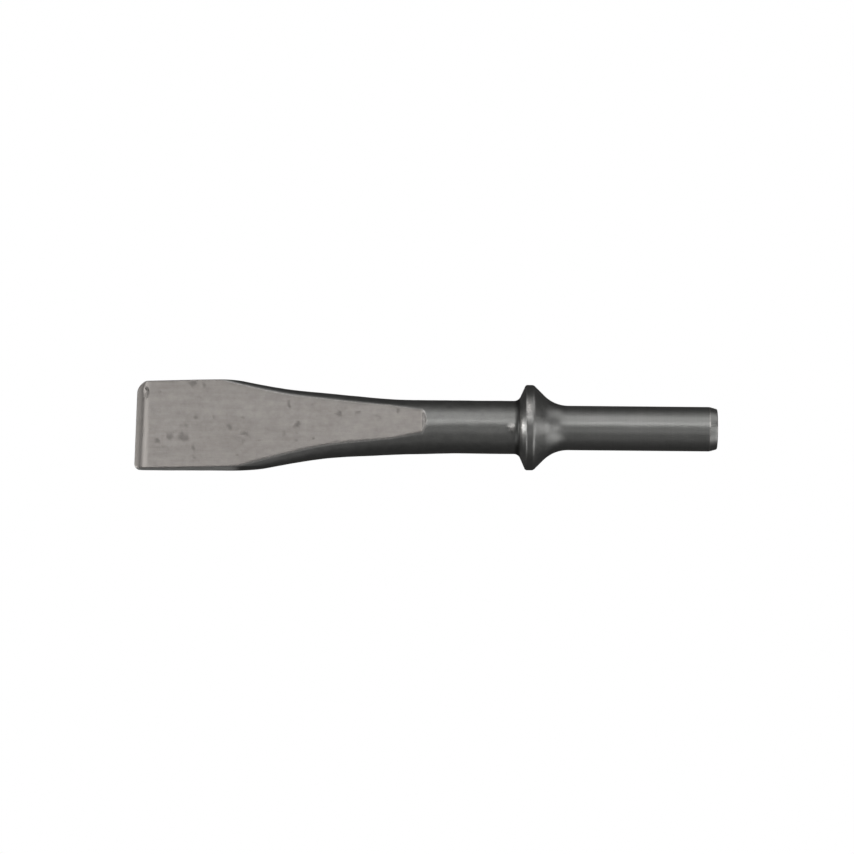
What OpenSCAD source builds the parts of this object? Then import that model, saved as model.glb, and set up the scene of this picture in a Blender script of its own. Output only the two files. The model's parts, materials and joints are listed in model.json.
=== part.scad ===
// Flat chisel bit with a turn-type collar: one forging, all sizes in millimetres.
// The tool axis is X. The striking face is the plane x = 0 and faces +X.
// The blade points along -X, its flats face +Z and -Z, and its width runs along Y.

/* [Overall] */
// Length from the striking face to the cutting edge
overall_l = 133.4; // [125:0.1:160]

/* [Shank] */
// Diameter of the plain shank that slides in the tool's barrel
shank_d = 10.2; // [9.8:0.1:11]
// Length of the shank from the striking face to where it starts to swell
shank_l = 34.1; // [25:0.1:37]
// Length of the bevel round the striking end
end_bevel_l = 1.8; // [0.5:0.1:3]
// Depth of the bevel round the striking end
end_bevel_h = 0.5; // [0.2:0.1:1.5]

/* [Collar] */
// Diameter over the rim of the collar
collar_d = 19.6; // [18:0.1:24]
// Width of the rim
rim_w = 1.8; // [1.5:0.1:4]
// Angle between the tool axis and the cone that seats in the retainer
cone_angle = 45; // [35:1:55]
// Radius of the hollow that blends the cone into the shank
cone_blend_r = 8; // [2:0.5:9]
// Angle between the collar's blade-side face and a plane square to the axis
face_angle = 24; // [10:1:35]
// Radius of the hollow that blends the blade-side face into the body
face_blend_r = 1.6; // [1:0.1:3]

/* [Body] */
// Diameter of the round body between the collar and the blade
body_d = 12.2; // [11.5:0.1:13]
// Distance from the striking face to the start of the flats
flats_from = 66.6; // [60:0.1:70]
// Length of the short ramp that leads from the round body onto the flats
ramp_l = 1; // [0.8:0.1:4]
// Depth that this ramp takes off the body on each side
ramp_h = 0.55; // [0.5:0.05:1]

/* [Blade] */
// Width across the blade at its shoulders
blade_w = 20.8; // [17:0.1:26]
// Length from the shoulders to the cutting edge
blade_l = 25.3; // [15:0.1:30]
// Angle at which each side draws in from the shoulder to the tip
side_draw = 0; // [0:0.1:1.5]
// Thickness of the blade at its shoulders
shoulder_t = 4.4; // [3.5:0.1:5.5]
// Thickness of the blade where the cutting bevels start
blade_t = 2; // [1.6:0.1:3]
// Length of the cutting bevels
bevel_l = 1.4; // [1.2:0.1:4]
// Thickness left at the cutting edge
edge_t = 0.5; // [0.3:0.1:1]
// Radius of the two corners of the cutting edge
corner_r = 2; // [1:0.1:3]

/* [Hidden] */

$fn = 96;
spread_fn = 720;

shank_r = shank_d / 2;
body_r = body_d / 2;
collar_r = collar_d / 2;

// The cone leaves its hollow at cone_foot and meets the rim at rim_start.
cone_foot_r = shank_r + cone_blend_r * (1 - cos(cone_angle));
cone_foot = shank_l + cone_blend_r * sin(cone_angle);
rim_start = cone_foot + (collar_r - cone_foot_r) / tan(cone_angle);
rim_end = rim_start + rim_w;

// The blade-side face runs in from the rim to its own hollow, which ends on the body.
face_foot_r = body_r + face_blend_r * (1 - sin(face_angle));
face_foot = rim_end + (collar_r - face_foot_r) * tan(face_angle);
body_start = face_foot + face_blend_r * cos(face_angle);

// The sides start to spread just past the start of the flats, along an arc that reaches
// the blade's full width at the shoulders.
spread_from = flats_from + ramp_l / 2;
shoulder = overall_l - blade_l;
spread_l = shoulder - spread_from;
spread_w = blade_w / 2 - body_r;
side_arc_r = (spread_l * spread_l + spread_w * spread_w) / (2 * spread_w);

// Half the depth kept on the blade's sides: less than the body's radius, and more than
// the flats leave anywhere past spread_from.
side_h = body_r - ramp_h / 4;
// Longer than the whole tool, for shapes that only trim others.
reach = 2 * overall_l;
// Each corner arc of the cutting edge is set out a little, to cross the blade's side.
corner_y = blade_w / 2 - 0.9 * corner_r;

// Half outline of the shank, the collar and the round body, from the axis out.
module turned_outline() {
    difference() {
        polygon([
            [0, 0],
            [shank_r - end_bevel_h, 0],
            [shank_r, end_bevel_l],
            [shank_r, shank_l],
            [cone_foot_r, cone_foot],
            [collar_r, rim_start],
            [collar_r, rim_end],
            [face_foot_r, face_foot],
            [body_r, body_start],
            [body_r, spread_from],
            [0, spread_from]
        ]);
        translate([shank_r + cone_blend_r, shank_l]) circle(cone_blend_r);
        translate([body_r + face_blend_r, body_start]) circle(face_blend_r);
    }
}

// The shank, collar and round body, turned about the tool axis.
module turned_end() {
    rotate([0, -90, 0]) rotate_extrude() turned_outline();
}

// Section through one side of the blade. The side keeps the bar's round, at -X in this
// sketch, and the web reaches from it to +X.
module side_section() {
    intersection() {
        circle(body_r);
        square([body_d, 2 * side_h], center = true);
    }
    translate([0, -side_h]) square([2 * blade_w, 2 * side_h]);
}

// All that lies within the spreading side at +Y, which follows an arc.
module within_spread() {
    translate([-spread_from, body_r + side_arc_r, 0])
        rotate_extrude($fn = spread_fn)
            translate([side_arc_r + body_r, 0]) side_section();
}

// All that lies within the trimmed side at +Y, a plane that draws in towards the tip.
module within_straight() {
    translate([-shoulder, blade_w / 2, 0])
        rotate([0, 0, side_draw])
            translate([-reach / 2, -2 * blade_w, -body_d])
                cube([reach, 2 * blade_w, 2 * body_d]);
}

// Plan of the blade, trimmed square at the cutting edge with a rounded corner each side.
module blade_plan() {
    corner_x = corner_r - overall_l;
    translate([corner_x, -blade_w]) square([-spread_from - corner_x, 2 * blade_w]);
    translate([-overall_l, -corner_y]) square([2 * corner_r, 2 * corner_y]);
    for (side = [-1, 1])
        translate([corner_x, side * corner_y]) circle(corner_r);
}

// The blade before its flats are formed.
module blade() {
    intersection() {
        translate([0, 0, -body_d]) linear_extrude(2 * body_d) blade_plan();
        within_spread();
        mirror([0, 1, 0]) within_spread();
        within_straight();
        mirror([0, 1, 0]) within_straight();
    }
}

// Side view of what is left between the flats: full depth at the collar, then the ramps,
// the steep taper to the shoulders, the thin blade and the cutting bevels.
module taper_outline() {
    upper = [
        [0, collar_d],
        [-flats_from, collar_d],
        [-flats_from, body_r],
        [-flats_from - ramp_l, body_r - ramp_h],
        [-shoulder, shoulder_t / 2],
        [bevel_l - overall_l, blade_t / 2],
        [-overall_l, edge_t / 2]
    ];
    lower = [for (i = [len(upper) - 1 : -1 : 0]) [upper[i][0], -upper[i][1]]];
    polygon(concat(upper, lower));
}

module between_flats() {
    rotate([90, 0, 0]) linear_extrude(2 * reach, center = true) taper_outline();
}

// The whole bit, one piece of steel.
module chisel_bit() {
    color([0.41, 0.4, 0.38])
        intersection() {
            between_flats();
            union() {
                turned_end();
                blade();
            }
        }
}

chisel_bit();
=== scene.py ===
"""Flat cold-chisel bit: one forging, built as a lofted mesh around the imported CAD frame.

The tool axis is X. Stations are numbered from the striking face (x = 0) to the cutting edge, and
each is a closed section of the same number of points, so the whole skin is one even quad grid.
Lengths are in millimetres until the mesh is made. The mesh, camera and lights are in metres.
"""

import json
import math
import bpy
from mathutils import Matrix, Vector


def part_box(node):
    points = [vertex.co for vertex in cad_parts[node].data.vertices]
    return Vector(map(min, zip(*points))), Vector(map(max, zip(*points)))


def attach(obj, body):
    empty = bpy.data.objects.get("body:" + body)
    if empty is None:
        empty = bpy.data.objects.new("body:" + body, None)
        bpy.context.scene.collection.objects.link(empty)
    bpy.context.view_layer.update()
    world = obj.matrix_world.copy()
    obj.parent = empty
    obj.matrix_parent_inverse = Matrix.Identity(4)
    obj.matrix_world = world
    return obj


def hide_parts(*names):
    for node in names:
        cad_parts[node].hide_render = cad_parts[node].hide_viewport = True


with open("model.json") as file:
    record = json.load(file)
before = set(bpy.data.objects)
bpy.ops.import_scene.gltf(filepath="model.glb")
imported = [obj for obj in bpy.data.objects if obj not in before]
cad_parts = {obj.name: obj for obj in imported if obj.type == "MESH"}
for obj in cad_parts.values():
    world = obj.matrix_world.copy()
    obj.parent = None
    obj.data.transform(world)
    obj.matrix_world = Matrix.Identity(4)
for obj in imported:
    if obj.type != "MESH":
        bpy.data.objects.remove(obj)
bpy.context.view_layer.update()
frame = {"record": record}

from types import SimpleNamespace

import bpy
import numpy as np
from mathutils import Matrix, Vector, noise

MM = 0.001
NODE = "chisel_bit"

low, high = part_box(NODE)
mounts = {m["name"]: m for m in frame["record"]["mounts"]}

# Sizes that the frame gives.
OVERALL_L = (high.x - low.x) / MM
BLADE_W = (high.y - low.y) / MM
COLLAR_R = (high.z - low.z) / MM / 2
SHANK_R = mounts["shank"]["dims"]["r_mm"]
SHANK_STRAIGHT_L = mounts["shank"]["dims"]["length_mm"]
SHANK_MIDDLE = -mounts["shank"]["pos_m"][0] / MM

# Shank and collar, as lengths from the striking face and radii.
END_BEVEL_L = SHANK_MIDDLE - SHANK_STRAIGHT_L / 2
END_BEVEL_H = 0.5
SHANK_L = SHANK_MIDDLE + SHANK_STRAIGHT_L / 2
CONE_BLEND_R = 8.0
RIM_W = 1.8
FACE_ANGLE = math.radians(24)
FACE_BLEND_R = 1.6

# Round body and blade.
BODY_R = 6.1
FLATS_FROM = 66.6
RAMP_L = 1.0
RAMP_H = 0.55
BLADE_L = 25.3
SHOULDER_T = 4.4
BLADE_T = 2.0
BEVEL_L = 1.4
EDGE_T = 0.5

# The blade's sides bulge as an arc. Its radius is this share of half the thickness, and grows
# faster, by this much a square millimetre, where half the thickness is past this value.
SIDE_ROUND = 1.1
SIDE_ROUND_GAIN = 0.11
SIDE_ROUND_PAST = 2.4
# How widely the corners between the blade's faces are rounded.
FLAT_ROUND = 0.3
WALL_ROUND = 0.3

# The forged flare reaches this far past the walls that trim the blade.
FLARE_PAST = 0.25
# A hand-forged blade isn't quite even, so these differ between the sides at +Y (1) and -Y (-1).
# How far the shoulder lies past the middle one, and how far the wall is set out there.
SHOULDER_SKEW = {1: 1.4, -1: -1.4}
WALL_SHIFT = {1: 0.07, -1: -0.1}
# How the wall runs in towards the tip. The blade stands a little askew on its body.
SIDE_DRAW = {1: math.radians(1.0), -1: math.radians(-0.9)}
# Where each side swells past its arc: length from the striking face, half length and height.
SWELLS = {1: [(86.0, 13, 0.24), (106.0, 18, -0.17)], -1: [(76.0, 17, 0.34), (104.0, 18, 0.22)]}
TIP_CORNER_R = {1: 2.8, -1: 1.3}
EDGE_SKEW = math.radians(0.9)
# The bevels are ground by hand, so they roll over into the flats along an arc.
BEVEL_ROUND_R = 5.0
# Radius that blends the steep taper into the thin blade.
TAPER_BLEND_R = 320

# Nicks and burrs from handling: length from the striking face, angle from +Z towards +Y in
# degrees, half length, half width round the tool, and height (negative for a dent).
NICKS = [
    (47.2, -17, 1.2, 1.3, 0.26),
    (44.7, -14, 0.75, 9.0, 0.5),
    (43.0, 62, 0.8, 0.8, -0.16),
    (42.8, -118, 0.9, 0.9, -0.14),
    (61.5, 38, 1.1, 1.1, -0.07),
    (55.0, -64, 0.9, 0.9, -0.06),
    (78.0, 12, 1.3, 0.8, -0.06),
    (96.5, -22, 1.5, 1.1, -0.05),
    (89.0, 158, 1.4, 1.0, -0.06),
    (104.0, 171, 1.8, 1.2, -0.05),
    (24.0, 71, 0.7, 0.7, -0.03),
    (131.0, 82, 0.9, 1.5, -0.2),
]
# Patches that handling has rubbed bright: length from the striking face, half length, angle from
# +Z towards +Y and half angle, in millimetres and degrees.
RUBS = [
    (47.2, 1.2, -14, 13),
    (43.4, 1.3, 14, 26),
    (44.6, 0.7, -12, 30),
]

CONE_FOOT = SHANK_L + CONE_BLEND_R * math.tan(math.pi / 8)
RIM_START = CONE_FOOT + COLLAR_R - SHANK_R
RIM_END = RIM_START + RIM_W
FACE_FOOT = RIM_END + (COLLAR_R - BODY_R) * math.tan(FACE_ANGLE)
# From here on the section is shaped by its two sides, and the turned outline ends further on.
FORGED_FROM = FACE_FOOT + 2 * FACE_BLEND_R
TURNED_TO = FLATS_FROM - 1.5
SHOULDER = OVERALL_L - BLADE_L
BEVEL_FROM = OVERALL_L - BEVEL_L
SPREAD_FROM = FLATS_FROM + RAMP_L / 2
SPREAD_W = BLADE_W / 2 + FLARE_PAST - BODY_R

# The camera looks down a little short of square to the flats. PICTURE_W is the width that the
# picture takes in at the tool. The sensor's width is in millimetres, the other lengths in metres.
CAMERA_ELEVATION = math.radians(75.5)
CAMERA_ROLL = math.radians(0.52)
CAMERA_TARGET = Vector((-0.0665, -0.00007, 0))
CAMERA_DISTANCE = 1.2
PICTURE_W = 0.1958
SENSOR_W = 36
# The direction from the tool to the camera, and the one in which a level flat mirrors the camera.
TO_CAMERA = Vector((0, -math.cos(CAMERA_ELEVATION), math.sin(CAMERA_ELEVATION)))
MIRRORED = Vector((0, math.cos(CAMERA_ELEVATION), math.sin(CAMERA_ELEVATION)))
# Lights face the middle of the tool from this far off, in metres.
LAMP_DISTANCE = 0.8
TOOL_MIDDLE = Vector((-0.067, 0, 0))
FLOOR_HALF = 3.0
# How bright the studio is that the steel mirrors, and how much brighter its pale corners are.
STUDIO_DIM = 0.045
STUDIO_PALE = 0.75

# Columns in a quarter of the section: across half a flat, then round half a side.
FLAT_COLUMNS = 24
SIDE_COLUMNS = 15

# Longest steps along the turned outline and the taper's outline, then the steps between stations
# over the ramp and along the blade.
TURNED_STEP = 0.36
TAPER_STEP = 0.2
RAMP_STEP = 0.12
BLADE_STEP = 0.34
# The last stretch before the cutting edge has its own stations, which crowd towards the edge.
TIP_L = 1.8
BEVEL_STATIONS = 16
TIP_STATIONS = 26

PIT_DEPTH = 0.035
PIT_SPACING = 3.2
# Vector noise differs from run to run unless it is seeded.
NOISE_SEED = 26


# ---------------------------------------------------------------- outlines

def rounded_path(corners, step):
    """Points along straight stretches whose corners are rounded by arcs.

    corners holds (along, out, radius); a radius of 0 keeps the corner. Returns the points as an
    array of (along, out), and how strongly each lies on a rounded corner: up to 1 on an outer
    corner, and down to -1 on an inner one.
    """
    points, outer = [], []
    for i, (a, b, radius) in enumerate(corners):
        here = np.array([a, b])
        if radius == 0:
            points.append(here)
            outer.append(0.0)
            continue
        before = np.array(corners[i - 1][:2]) - here
        after = np.array(corners[i + 1][:2]) - here
        before /= np.linalg.norm(before)
        after /= np.linalg.norm(after)
        half = math.acos(np.clip(before @ after, -1, 1)) / 2
        middle = (before + after) / np.linalg.norm(before + after)
        centre = here + middle * radius / math.sin(half)
        start = here + before * radius / math.tan(half)
        end = here + after * radius / math.tan(half)
        turn = math.pi - 2 * half
        count = max(5, math.ceil(radius * turn / step) * 2)
        way_out = math.copysign(1, before[0] * after[1] - before[1] * after[0])
        for t in np.linspace(0, 1, count + 1):
            way = slerp((start - centre) / radius, (end - centre) / radius, t)
            points.append(centre + way * radius)
            outer.append(way_out * math.sin(math.pi * t))
    return filled_in(np.array(points), np.array(outer), step)


def slerp(a, b, t):
    """The unit vector at share t of the turn from a to b."""
    angle = math.acos(np.clip(a @ b, -1, 1))
    return (math.sin((1 - t) * angle) * a + math.sin(t * angle) * b) / math.sin(angle)


def filled_in(points, values, step):
    """Adds points along the long stretches, so that none is longer than step."""
    out_points, out_values = [points[0]], [values[0]]
    for p, q, u, v in zip(points, points[1:], values, values[1:]):
        count = max(1, math.ceil(np.linalg.norm(q - p) / step))
        for t in np.arange(1, count + 1) / count:
            out_points.append(p + (q - p) * t)
            out_values.append(u + (v - u) * t)
    return np.array(out_points), np.array(out_values)


def turned_outline():
    """Shank, collar and round body: (length from the striking face, radius), and corners."""
    return rounded_path(
        [
            (0, SHANK_R - END_BEVEL_H - 0.75, 0),
            (0, SHANK_R - END_BEVEL_H, 0.4),
            (END_BEVEL_L, SHANK_R, 1.5),
            (CONE_FOOT, SHANK_R, CONE_BLEND_R),
            (RIM_START, COLLAR_R, 1.0),
            (RIM_END, COLLAR_R, 0.6),
            (FACE_FOOT, BODY_R, FACE_BLEND_R),
            (TURNED_TO, BODY_R, 0),
        ],
        TURNED_STEP,
    )


def taper_outline():
    """Half the thickness between the flats, from just before them to the cutting edge."""
    return rounded_path(
        [
            (FLATS_FROM - 3 * RAMP_L, BODY_R + 3 * RAMP_H, 0),
            (FLATS_FROM + RAMP_L, BODY_R - RAMP_H, 0.5),
            (SHOULDER, SHOULDER_T / 2, TAPER_BLEND_R),
            (BEVEL_FROM, BLADE_T / 2, BEVEL_ROUND_R),
            (OVERALL_L - 0.02, EDGE_T / 2, 0.08),
            (OVERALL_L, 0.04, 0),
        ],
        TAPER_STEP,
    )[0]


def soft_max(a, b, width):
    """The greater of a and b, raised over about width where they cross, which rounds a corner."""
    overlap = np.maximum(width - np.abs(a - b), 0) / width
    return np.maximum(a, b) + overlap**2 * width / 4


def smooth_step(x, start, end):
    t = np.clip((x - start) / (end - start), 0, 1)
    return t * t * (3 - 2 * t)


def raised(t):
    """A smooth hump: 1 at t = 0, and 0 from t = 1 or -1 outwards."""
    return np.clip(1 - t**2, 0, 1) ** 2


def spread_half_width(s, side):
    """Half the forged width at the middle plane, on the side at +Y (1) or -Y (-1)."""
    ahead = np.clip(s - SPREAD_FROM, 0, None)
    spread_l = SHOULDER + SHOULDER_SKEW[side] - SPREAD_FROM
    arc_r = (spread_l**2 + SPREAD_W**2) / (2 * SPREAD_W)
    swell = sum(height * raised((s - at) / reach) for at, reach, height in SWELLS[side])
    return BODY_R + swell + arc_r - np.sqrt(arc_r**2 - ahead**2)


def trimmed_half_width(s, side):
    """Half the width to which that side of the blade is trimmed, drawn in towards the tip."""
    past_shoulder = s - SHOULDER - SHOULDER_SKEW[side]
    wall = BLADE_W / 2 + WALL_SHIFT[side] - past_shoulder * math.tan(SIDE_DRAW[side])
    radius = TIP_CORNER_R[side]
    past = np.clip((s - OVERALL_L + radius) / radius, 0, 1)
    return wall - radius * (1 - np.sqrt(1 - past**2))


# ---------------------------------------------------------------- the loft

def blade_stations():
    """Lengths from the striking face at which the blade is cut, closer where it turns fastest."""
    ramp = np.arange(TURNED_TO, FLATS_FROM + 3, RAMP_STEP)[1:]
    taper = np.arange(ramp[-1], BEVEL_FROM - 1.6, BLADE_STEP)[1:]
    bevel = np.linspace(taper[-1], OVERALL_L - TIP_L, BEVEL_STATIONS)[1:]
    quarter_turn = np.linspace(0, math.pi / 2, TIP_STATIONS)
    tip = OVERALL_L - TIP_L * (1 - np.sin(quarter_turn))[1:]
    return np.concatenate([ramp, taper, bevel, tip])


def stations():
    """Every section's length from the striking face, its round radius, and corners."""
    turned, corner = turned_outline()
    blade = blade_stations()
    s = np.concatenate([turned[:, 0], blade])
    radius = np.concatenate([turned[:, 1], np.full(len(blade), BODY_R)])
    corner = np.concatenate([corner, np.zeros(len(blade))])
    return s, radius, corner


def half_thickness(s):
    outline = taper_outline()
    return np.interp(s, outline[:, 0], outline[:, 1], left=2 * COLLAR_R)


def bulge_radius(s, side):
    """Radius of the forged section's bulging side, the same on both, and at most the body's."""
    d = half_thickness(s)
    growth = SIDE_ROUND_GAIN * np.maximum(d - SIDE_ROUND_PAST, 0) ** 2
    return np.minimum(BODY_R, SIDE_ROUND * d + growth)


def bulge_centre(s, side):
    """How far from the middle plane the centre of that bulge lies."""
    return spread_half_width(s, side) - bulge_radius(s, side)


def width_at(z, centre, radius, wall):
    """How far from the middle plane a side lies at height z: on its bulge or its trimmed wall."""
    return np.minimum(centre + np.sqrt(np.maximum(radius**2 - z**2, 0)), wall)


def quarter_angles(s, side):
    """Angle from +Z of each column between the middle of a flat and the middle of one side.

    The columns crowd towards the edge of the flat, and the one at FLAT_COLUMNS follows it. Where
    there is no flat, the columns keep the angles they have at the foot of the ramp.
    """
    at = np.maximum(s, FLATS_FROM + RAMP_L)
    radius = bulge_radius(at, side)[:, None]
    centre = bulge_centre(at, side)[:, None]
    wall = trimmed_half_width(at, side)[:, None]
    d = half_thickness(at)[:, None]
    t = np.linspace(0, 1, FLAT_COLUMNS + 1)
    edge_y = width_at(d, centre, radius, wall)
    on_flat = np.arctan2(edge_y * (1 - (1 - t) ** 1.6), d)
    t = np.linspace(0, 1, SIDE_COLUMNS + 1)[1:]
    z = d * (1 - t**1.4)
    on_side = np.arctan2(width_at(z, centre, radius, wall), z)
    return np.concatenate([on_flat, on_side], axis=1)


def column_angles(s):
    """Angles from +Z of every column, going round from the flat at +Z by way of +Y."""
    near, far = quarter_angles(s, 1), quarter_angles(s, -1)
    half = np.concatenate([near, math.pi - near[:, -2::-1]], axis=1)
    other = np.concatenate([far, math.pi - far[:, -2::-1]], axis=1)
    return np.concatenate([half, 2 * math.pi - other[:, -2:0:-1]], axis=1)


def by_side(function, s, angles):
    """A function of (s, side) at every station and column, as columns lie at +Y or -Y."""
    return np.where(np.sin(angles) >= 0, function(s, 1)[:, None], function(s, -1)[:, None])


def skin_points(s, radius, angles):
    """(points, how far inside the flats' edges, how much on a trimmed wall) at every column.

    Each point lies where its ray from the tool axis leaves the section, found by bisection. The
    walls count as trimmed from a little past the shoulders, where no forged skin is left on them.
    """
    d = half_thickness(s)[:, None]
    forged = s[:, None] > FORGED_FROM
    bulge = np.where(forged, by_side(bulge_radius, s, angles), radius[:, None])
    centre = np.where(forged, by_side(bulge_centre, s, angles), 0)
    wall = np.where(forged, by_side(trimmed_half_width, s, angles), 2 * COLLAR_R)
    sin, cos = np.abs(np.sin(angles)), np.abs(np.cos(angles))

    def outside(out):
        y, z = out * sin, out * cos
        past_side = np.where(y > centre, np.hypot(y - centre, z), z) - bulge
        past_edges = soft_max(past_side, y - wall, WALL_ROUND)
        return soft_max(past_edges, z - d, np.minimum(FLAT_ROUND, 0.6 * d))

    near, far = np.zeros_like(angles), np.full_like(angles, 1.5 * BLADE_W)
    for _ in range(40):
        middle = (near + far) / 2
        is_out = outside(middle) > 0
        near, far = np.where(is_out, near, middle), np.where(is_out, middle, far)
    out = (near + far) / 2
    inside = width_at(d, centre, bulge, wall) - out * sin - 3 * np.maximum(d - bulge, 0)
    trimmed = smooth_step(out * sin - wall, -0.3, -0.1) * (inside < 0.05)
    trimmed = trimmed * smooth_step(s, SHOULDER + 1, SHOULDER + 3.5)[:, None]
    askew = (BLADE_W / 2 + out * np.sin(angles)) * math.tan(EDGE_SKEW)
    along = s[:, None] - askew * smooth_step(s, BEVEL_FROM - 1.5, OVERALL_L - 1)[:, None]
    points = np.stack([-along, out * np.sin(angles), out * np.cos(angles)], -1)
    return points, inside, trimmed


def relief(s, points, inside):
    """(height of the surface above the smooth shape, how pitted it is) at every point.

    The forged skin is gently uneven and the flats carry shallow pits. The turned shank is true.
    """
    noise.seed_set(NOISE_SEED)
    along = s[:, None] * np.ones_like(inside)
    past_shank = smooth_step(along, SHANK_L, SHANK_L + 6)
    forged = past_shank * (1 - smooth_step(along, BEVEL_FROM, OVERALL_L))
    on_flat = smooth_step(inside, 0.1, 0.8)
    places = [Vector(p) for p in points.reshape(-1, 3)]
    waves = np.array([forging_noise(p) for p in places]).reshape(inside.shape)
    pits = np.array([pit_depth(p) for p in places]).reshape(inside.shape)
    pits *= forged * (0.35 + 0.65 * on_flat)
    return forged * waves * (1 - 0.45 * on_flat) - PIT_DEPTH * pits, pits


def forging_noise(p):
    """Unevenness left by the forging dies and the scale, in millimetres."""
    return 0.045 * noise.noise(p / 7.0) + 0.018 * noise.noise(p / 2.3) + 0.008 * noise.noise(p)


def pit_depth(p):
    """How deep in a pit a point lies, from 0 to 1. Pits cluster where a broad noise is high."""
    crowd = noise.noise(p / 9.0 + Vector((3.1, 7.7, 1.9)))
    ragged = p + 0.8 * noise.noise_vector(p / 1.1)
    distance = noise.voronoi(ragged / PIT_SPACING)[0][0]
    size = 0.2 + 0.3 * crowd
    return max(0.0, 1 - (distance / size) ** 2) if size > 0.12 else 0.0


def nick_heights(s, points):
    """Height that the nicks add at every point."""
    height = np.zeros(points.shape[:2])
    angle = np.arctan2(points[:, :, 1], points[:, :, 2])
    out = np.hypot(points[:, :, 1], points[:, :, 2])
    for at, degrees, half_length, half_width, rise in NICKS:
        turn = np.remainder(angle - math.radians(degrees) + math.pi, 2 * math.pi) - math.pi
        apart = np.hypot(s[:, None] - at, turn * out)
        middle = points[np.unravel_index(np.argmin(apart), apart.shape)]
        across = np.hypot(points[:, :, 1] - middle[1], points[:, :, 2] - middle[2])
        height += rise * raised(np.hypot((s[:, None] - at) / half_length, across / half_width))
    return height


def skin_normals(points):
    """Outward unit normals of the grid of points."""
    along = np.gradient(points, axis=0)
    around = np.roll(points, -1, axis=1) - np.roll(points, 1, axis=1)
    normal = np.cross(around, along)
    normal /= np.linalg.norm(normal, axis=2, keepdims=True) + 1e-12
    return normal


def rubbed_spots(s, points):
    """How strongly each point lies on a patch that handling has rubbed bright, from 0 to 1."""
    rubbed = np.zeros(points.shape[:2])
    angle = np.arctan2(points[:, :, 1], points[:, :, 2])
    for at, half_length, degrees, half_degrees in RUBS:
        along = (s[:, None] - at) / half_length
        around = (np.degrees(angle) - degrees) / half_degrees
        rubbed = np.maximum(rubbed, raised(np.hypot(along, around)))
    return rubbed


def wear_and_painted_light(s, corner, inside):
    """How rubbed each point is: at corners, the flats' borders and the cutting edge. At the flats'
    feet the bare tint is painted light, which lifts the shade of the ramp.

    The shank's corners are fully rubbed, and the collar's only slightly.
    """
    along = s[:, None] + 0 * inside
    border = 0.6 * np.exp(-(inside / 0.22) ** 2) * smooth_step(along, FLATS_FROM, FLATS_FROM + 8)
    # Painted light: the feet of the flats get the bare tint, which lifts the ramp's shade.
    foot = raised(along - FLATS_FROM - 0.4 * RAMP_L) * (inside > -0.4)
    edge = 0.4 * smooth_step(along, OVERALL_L - 0.6, OVERALL_L)
    turned = np.maximum(corner, 0) * np.where(s > CONE_FOOT, 0.15, 1)
    return np.maximum.reduce([turned[:, None] + 0 * inside, border, foot, edge])


def build_mesh():
    s, radius, corner = stations()
    angles = column_angles(s)
    points, inside, trimmed = skin_points(s, radius, angles)
    height, pits = relief(s, points, inside)
    height += nick_heights(s, points)
    points = points + skin_normals(points) * height[:, :, None]
    mesh = skinned(points)

    # Rubbed wear, and painted light at the flats' feet.
    worn = np.maximum(wear_and_painted_light(s, corner, inside) * (1 - trimmed), rubbed_spots(s, points))
    # Painted shade: the concave fillets are darkened, the one at the cone's foot only a fifth as much.
    hollow = np.maximum(-corner, 0) * np.where(s < RIM_START, 0.2, 1)
    ground = smooth_step(s, BEVEL_FROM - 2.2, BEVEL_FROM - 1.0)
    add_attribute(mesh, "on_flat", smooth_step(inside, -0.05, 0.2) * (1 - trimmed), 0)
    add_attribute(mesh, "pitted", pits, 0)
    add_attribute(mesh, "trimmed", trimmed, 0)
    add_attribute(mesh, "worn", worn, 0)
    add_attribute(mesh, "hollow", hollow[:, None] + 0 * inside, 0)
    add_attribute(mesh, "ground", ground[:, None] + 0 * inside, 1)
    return mesh


def skinned(points):
    """A closed mesh over the grid of points, in metres, with a cap at both ends."""
    rows, columns = points.shape[:2]
    index = np.arange(rows * columns).reshape(rows, columns)
    beside = np.roll(index, -1, axis=1)
    faces = np.stack([index[:-1], beside[:-1], beside[1:], index[1:]], -1).reshape(-1, 4)
    faces = [tuple(f) for f in faces.tolist()]
    verts = points.reshape(-1, 3)
    verts, faces = capped(verts, faces, index[0], flip=True)
    verts, faces = capped(verts, faces, index[-1], flip=False)
    mesh = bpy.data.meshes.new("chisel_bit_skin")
    mesh.from_pydata((np.array(verts) * MM).tolist(), [], faces)
    mesh.update()
    return mesh


def add_attribute(mesh, name, values, beyond):
    """Keeps a value for every point of the skin, and the value beyond for those of the caps."""
    skin = values.reshape(-1)
    held = np.full(len(mesh.vertices), float(beyond))
    held[: len(skin)] = skin
    attribute = mesh.attributes.new(name, "FLOAT", "POINT")
    attribute.data.foreach_set("value", held)


def capped(verts, faces, ring, flip):
    """Closes a ring with a grid of quads, whose corners are the columns at the flats' edges."""
    n = len(ring)
    wide, tall = 2 * FLAT_COLUMNS, 2 * SIDE_COLUMNS
    start = n - FLAT_COLUMNS
    top = [ring[(start + i) % n] for i in range(wide + 1)]
    right = [ring[(start + wide + i) % n] for i in range(tall + 1)]
    bottom = [ring[(start + 2 * wide + tall - i) % n] for i in range(wide + 1)]
    left = [ring[(start - i) % n] for i in range(tall + 1)]
    verts = [tuple(v) for v in verts]

    def at(k):
        return np.array(verts[k])

    grid = np.zeros((tall + 1, wide + 1), int)
    grid[0], grid[-1], grid[:, 0], grid[:, -1] = top, bottom, left, right
    for j in range(1, tall):
        v = j / tall
        for i in range(1, wide):
            u = i / wide
            edges = (1 - v) * at(top[i]) + v * at(bottom[i]) + (1 - u) * at(left[j]) + u * at(right[j])
            upper = (1 - u) * at(top[0]) + u * at(top[-1])
            lower = (1 - u) * at(bottom[0]) + u * at(bottom[-1])
            grid[j, i] = len(verts)
            verts.append(tuple(edges - (1 - v) * upper - v * lower))
    for j in range(tall):
        for i in range(wide):
            quad = (grid[j, i], grid[j, i + 1], grid[j + 1, i + 1], grid[j + 1, i])
            faces.append(tuple(int(k) for k in (quad[::-1] if flip else quad)))
    return verts, faces


# ---------------------------------------------------------------- piece

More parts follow.
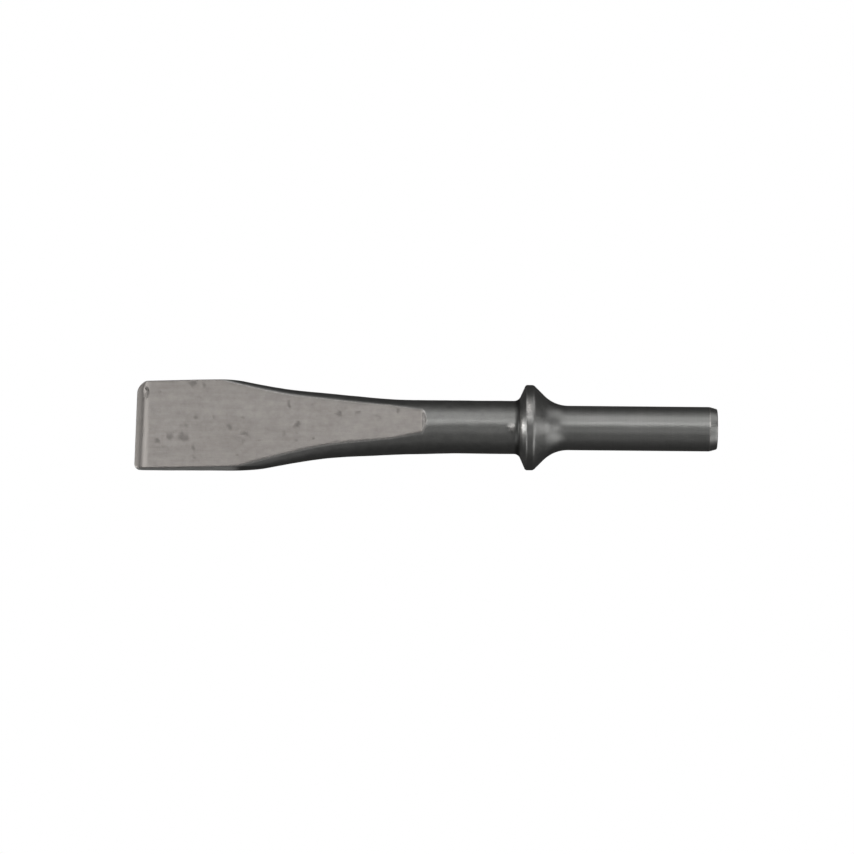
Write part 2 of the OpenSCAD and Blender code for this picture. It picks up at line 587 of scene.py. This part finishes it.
def build_chisel():
    mesh = build_mesh()
    for p in mesh.polygons:
        p.use_smooth = True
    piece = bpy.data.objects.new("chisel_bit_forging", mesh)
    bpy.context.scene.collection.objects.link(piece)
    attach(piece, "root")
    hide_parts(NODE)
    return piece


class Graph:
    """Short calls for building one tree of nodes. Values may be numbers or sockets."""

    def __init__(self, tree):
        self.tree = tree

    def node(self, kind, **settings):
        node = self.tree.nodes.new("ShaderNode" + kind)
        for key, value in settings.items():
            setattr(node, key, value)
        return node

    def feed(self, socket, value):
        if isinstance(value, bpy.types.NodeSocket):
            self.tree.links.new(value, socket)
        else:
            socket.default_value = value

    def math(self, operation, a, b=0.0):
        node = self.node("Math", operation=operation)
        self.feed(node.inputs[0], a)
        self.feed(node.inputs[1], b)
        return node.outputs[0]

    def times(self, *factors):
        product = factors[0]
        for factor in factors[1:]:
            product = self.math("MULTIPLY", product, factor)
        return product

    def plus(self, *terms):
        total = terms[0]
        for term in terms[1:]:
            total = self.math("ADD", total, term)
        return total

    def inverse(self, value):
        return self.math("SUBTRACT", 1.0, value)

    def attribute(self, name):
        return self.node("Attribute", attribute_name=name).outputs["Fac"]

    def stretched(self, vector, scale):
        node = self.node("VectorMath", operation="MULTIPLY")
        self.feed(node.inputs[0], vector)
        node.inputs[1].default_value = scale
        return node.outputs[0]

    def noise(self, vector, scale, detail, roughness):
        """Fractal noise from about 0 to 1, centred on 0.5."""
        node = self.node("TexNoise")
        self.feed(node.inputs["Vector"], vector)
        node.inputs["Scale"].default_value = scale
        node.inputs["Detail"].default_value = detail
        node.inputs["Roughness"].default_value = roughness
        return node.outputs["Fac"]

    def specks(self, vector, scale, size):
        """1 at the middle of scattered round specks, falling to 0 at their rims."""
        node = self.node("TexVoronoi")
        self.feed(node.inputs["Vector"], vector)
        node.inputs["Scale"].default_value = scale
        return self.between(node.outputs["Distance"], size, 0.0)

    def between(self, value, start, end, low=0.0, high=1.0):
        """A smooth ramp from low at start to high at end."""
        node = self.node("MapRange", interpolation_type="SMOOTHSTEP")
        for socket, number in zip(node.inputs[1:5], (start, end, low, high)):
            socket.default_value = number
        self.feed(node.inputs[0], value)
        return node.outputs[0]

    def mixed(self, share, a, b):
        node = self.node("Mix", data_type="FLOAT")
        self.feed(node.inputs[0], share)
        self.feed(node.inputs[2], a)
        self.feed(node.inputs[3], b)
        return node.outputs[0]

    def tinted(self, share, a, b):
        node = self.node("Mix", data_type="RGBA")
        self.feed(node.inputs[0], share)
        self.feed(node.inputs[6], a)
        self.feed(node.inputs[7], b)
        return node.outputs[2]

    def bumped(self, height, distance, normal=None):
        """Surface tilted by a height from 0 to 1 that stands for distance, in metres."""
        node = self.node("Bump")
        node.inputs["Strength"].default_value = 1.0
        node.inputs["Distance"].default_value = distance
        self.feed(node.inputs["Height"], height)
        if normal is not None:
            self.feed(node.inputs["Normal"], normal)
        return node.outputs[0]


def forged_steel():
    """Tool steel: dark forged skin, warmer flats, ground bevels, turned shank, rubbed edges."""
    material = bpy.data.materials.new("forged_steel")
    material.use_nodes = True
    g = Graph(material.node_tree)
    surface = material.node_tree.nodes["Principled BSDF"]
    per_mm = 1 / MM
    where = g.stretched(g.node("TexCoord").outputs["Object"], (per_mm, per_mm, per_mm))
    zones = steel_zones(g, where)
    patterns = steel_patterns(g, where)
    # The bare tint goes where the steel is rubbed, and at the flats' feet as painted light.
    rubbed = g.times(zones.worn, g.between(patterns.chips, 0.0, 1.0, 0.45, 1.0))

    g.feed(surface.inputs["Base Color"], steel_colour(g, zones, patterns, rubbed))
    # The trimmed walls are matt, and take light from the pale floor.
    g.feed(surface.inputs["Metallic"], g.mixed(zones.trimmed, 1.0, 0.6))
    g.feed(surface.inputs["Roughness"], steel_roughness(g, zones, patterns, rubbed))
    g.feed(surface.inputs["Normal"], steel_relief(g, zones, patterns))
    return material


def steel_zones(g, where):
    """How much each place belongs to each kind of surface, from 0 to 1. where is in mm."""
    parted = g.node("SeparateXYZ")
    g.feed(parted.inputs[0], where)
    from_face = g.math("MULTIPLY", parted.outputs[0], -1.0)
    on_flat = g.attribute("on_flat")
    return SimpleNamespace(
        on_flat=on_flat,
        shank=g.between(from_face, SHANK_L + 7, SHANK_L + 1),
        ground=g.times(g.attribute("ground"), on_flat),
        trimmed=g.attribute("trimmed"),
        pitted=g.attribute("pitted"),
        worn=g.attribute("worn"),
        hollow=g.attribute("hollow"),
    )


def steel_patterns(g, where):
    """Patterns, each about 0 to 1. Those with unequal scales run along the tool or round it."""
    return SimpleNamespace(
        cloud=g.noise(where, 0.14, 4, 0.6),
        mottle=g.noise(where, 0.62, 4, 0.62),
        grain=g.noise(where, 3.4, 3, 0.6),
        streak=g.noise(g.stretched(where, (0.09, 0.8, 0.8)), 1.0, 4, 0.6),
        brushed=g.noise(g.stretched(where, (0.16, 5.2, 5.2)), 1.0, 3, 0.6),
        turned=g.noise(g.stretched(where, (5.5, 0.05, 0.05)), 1.0, 2, 0.7),
        across=g.noise(g.stretched(where, (6.5, 0.35, 0.35)), 1.0, 3, 0.6),
        speckle=g.specks(where, 0.95, 0.17),
        chips=g.between(g.noise(where, 1.7, 5, 0.68), 0.47, 0.6),
    )


def steel_colour(g, zones, patterns, rubbed):
    """Each surface's tint times its shade, with bare steel where rubbed and as painted light at the
    flats' feet.
    """
    cloud = patterns.cloud
    warm = g.tinted(cloud, (0.344, 0.318, 0.297, 1), (0.332, 0.315, 0.301, 1))
    cool = g.tinted(cloud, (0.366, 0.373, 0.357, 1), (0.376, 0.370, 0.364, 1))
    bare = (0.74, 0.715, 0.69, 1)
    colour = g.node("VectorMath", operation="SCALE")
    g.feed(colour.inputs[0], g.tinted(g.times(zones.on_flat, g.inverse(zones.shank)), cool, warm))
    g.feed(colour.inputs["Scale"], steel_shade(g, zones, patterns))
    return g.tinted(rubbed, colour.outputs[0], bare)


def steel_shade(g, zones, patterns):
    """Reflectance as a share of the plain tint, with painted shade that darkens the concave fillets.
    """
    skin = g.plus(
        0.60,
        g.times(patterns.cloud, 0.26),
        g.times(patterns.mottle, 0.30),
        g.times(patterns.grain, 0.16),
        g.times(patterns.speckle, -0.18),
    )
    flat = g.plus(
        0.40,
        g.times(patterns.cloud, 0.34),
        g.times(patterns.mottle, 0.50),
        g.times(patterns.streak, 0.36),
        g.times(patterns.brushed, 0.10),
        g.times(patterns.speckle, -0.08),
    )
    turning = g.plus(
        0.78,
        g.times(patterns.cloud, 0.24),
        g.times(patterns.mottle, 0.16),
        g.times(patterns.turned, 0.22),
    )
    shade = g.mixed(zones.shank, g.mixed(zones.on_flat, skin, flat), turning)
    shade = g.mixed(zones.ground, shade, g.plus(1.08, g.times(patterns.across, 0.36)))
    # The pits are darker, and the concave fillets are darkened as painted shade.
    return g.times(shade, g.mixed(zones.pitted, 1.0, 0.8), g.mixed(zones.hollow, 1.0, 0.25))


def steel_roughness(g, zones, patterns, rubbed):
    rough = g.plus(
        0.32,
        g.times(patterns.mottle, 0.09),
        g.times(patterns.grain, 0.05),
        g.times(zones.pitted, 0.12),
    )
    return g.mixed(rubbed, g.mixed(zones.ground, rough, 0.33), 0.27)


def steel_relief(g, zones, patterns):
    """The normal tilted by fine relief, from the broadest down. Distances are in metres."""
    broad = g.bumped(patterns.mottle, 0.00002)
    fine = g.bumped(patterns.grain, 0.000005, broad)
    lines = g.mixed(zones.shank, g.times(patterns.brushed, zones.on_flat), patterns.turned)
    lined = g.bumped(g.mixed(zones.ground, lines, patterns.across), 0.000003, fine)
    return g.bumped(patterns.speckle, -0.00001, lined)


# ---------------------------------------------------------------- stage

def make_camera():
    data = bpy.data.cameras.new("camera")
    data.sensor_width = SENSOR_W
    data.lens = SENSOR_W * CAMERA_DISTANCE / PICTURE_W
    camera = bpy.data.objects.new("camera", data)
    camera.matrix_world = (
        Matrix.Translation(CAMERA_TARGET + TO_CAMERA * CAMERA_DISTANCE)
        @ (-TO_CAMERA).to_track_quat("-Z", "Y").to_matrix().to_4x4()
        @ Matrix.Rotation(CAMERA_ROLL, 4, "Z")
    )
    bpy.context.scene.collection.objects.link(camera)
    bpy.context.scene.camera = camera


def softbox(name, way, size, power):
    """An area light that faces the middle of the tool from the direction way."""
    data = bpy.data.lights.new(name, "AREA")
    data.shape = "RECTANGLE"
    data.size, data.size_y = size
    data.energy = power
    lamp = bpy.data.objects.new(name, data)
    lamp.location = TOOL_MIDDLE + way * LAMP_DISTANCE
    lamp.rotation_mode = "QUATERNION"
    lamp.rotation_quaternion = way.to_track_quat("Z", "Y")
    bpy.context.scene.collection.objects.link(lamp)


def overhead(degrees):
    """The direction that leans from straight up towards +Y."""
    angle = math.radians(degrees)
    return Vector((0, math.sin(angle), math.cos(angle)))


def beside(way, side, degrees):
    """The direction that leans from way towards the +X (1) or -X (-1) end."""
    angle = math.radians(degrees)
    return way * math.cos(angle) + Vector((side * math.sin(angle), 0, 0))


def make_lights():
    """A narrow key over the tool, dim panels along both sides, and lights towards its ends."""
    softbox("key", overhead(12), (1.0, 0.13), 1.1)
    softbox("back_fill", overhead(40), (1.0, 0.3), 0.8)
    softbox("back_low", overhead(64), (1.0, 0.3), 0.2)
    softbox("front_fill", overhead(-28), (1.0, 0.3), 0.3)
    softbox("front_low", overhead(-68), (1.0, 0.3), 0.05)
    softbox("left_fill", beside(TO_CAMERA, -1, 80), (0.22, 0.22), 0.9)
    softbox("left_low", beside(MIRRORED, -1, 56), (0.22, 0.22), 0.16)
    softbox("right_fill", beside(TO_CAMERA, 1, 80), (0.22, 0.3), 0.4)
    softbox("right_low", beside(TO_CAMERA, 1, 46), (0.22, 0.3), 0.36)
    softbox("right_front", Vector((0.8, -0.58, 0.16)), (0.6, 0.6), 0.4)
    softbox("left_front", Vector((-0.8, -0.58, 0.16)), (0.6, 0.6), 0.25)


def make_stage():
    """A white floor that the steel doesn't mirror, in front of a white world."""
    mesh = bpy.data.meshes.new("floor")
    ways = [(-1, -1), (1, -1), (1, 1), (-1, 1)]
    corners = [(x * FLOOR_HALF, y * FLOOR_HALF, low.z) for x, y in ways]
    mesh.from_pydata(corners, [], [(0, 1, 2, 3)])
    floor = bpy.data.objects.new("floor", mesh)
    bpy.context.scene.collection.objects.link(floor)
    floor.visible_glossy = False
    floor.data.materials.append(white_glow())
    bpy.context.scene.world = studio_world()
    bpy.context.scene.view_settings.view_transform = "Standard"


def white_glow():
    material = bpy.data.materials.new("pale_floor")
    material.use_nodes = True
    material.node_tree.nodes.clear()
    g = Graph(material.node_tree)
    glow = g.node("Emission")
    glow.inputs["Color"].default_value = (1, 1, 1, 1)
    g.feed(g.node("OutputMaterial").inputs[0], glow.outputs[0])
    return material


def studio_world():
    """White behind the tool. What the steel mirrors is dim, with paler walls at the corners."""
    world = bpy.data.worlds.new("studio")
    world.use_nodes = True
    world.node_tree.nodes.clear()
    g = Graph(world.node_tree)
    way = g.node("SeparateXYZ")
    g.feed(way.inputs[0], g.node("TexCoord").outputs["Generated"])
    x, y, z = way.outputs
    corner = g.between(g.math("ABSOLUTE", g.times(x, y)), 0.2, 0.46)
    wall = g.times(corner, g.between(z, 0.0, 0.2))
    mirrored, seen = g.node("Background"), g.node("Background")
    for shown in (mirrored, seen):
        shown.inputs["Color"].default_value = (1, 1, 1, 1)
    g.feed(mirrored.inputs["Strength"], g.plus(STUDIO_DIM, g.times(wall, STUDIO_PALE)))
    chosen = g.node("MixShader")
    g.feed(chosen.inputs[0], g.node("LightPath").outputs["Is Camera Ray"])
    g.feed(chosen.inputs[1], mirrored.outputs[0])
    g.feed(chosen.inputs[2], seen.outputs[0])
    g.feed(g.node("OutputWorld").inputs[0], chosen.outputs[0])
    return world


build_chisel().data.materials.append(forged_steel())
make_camera()
make_lights()
make_stage()
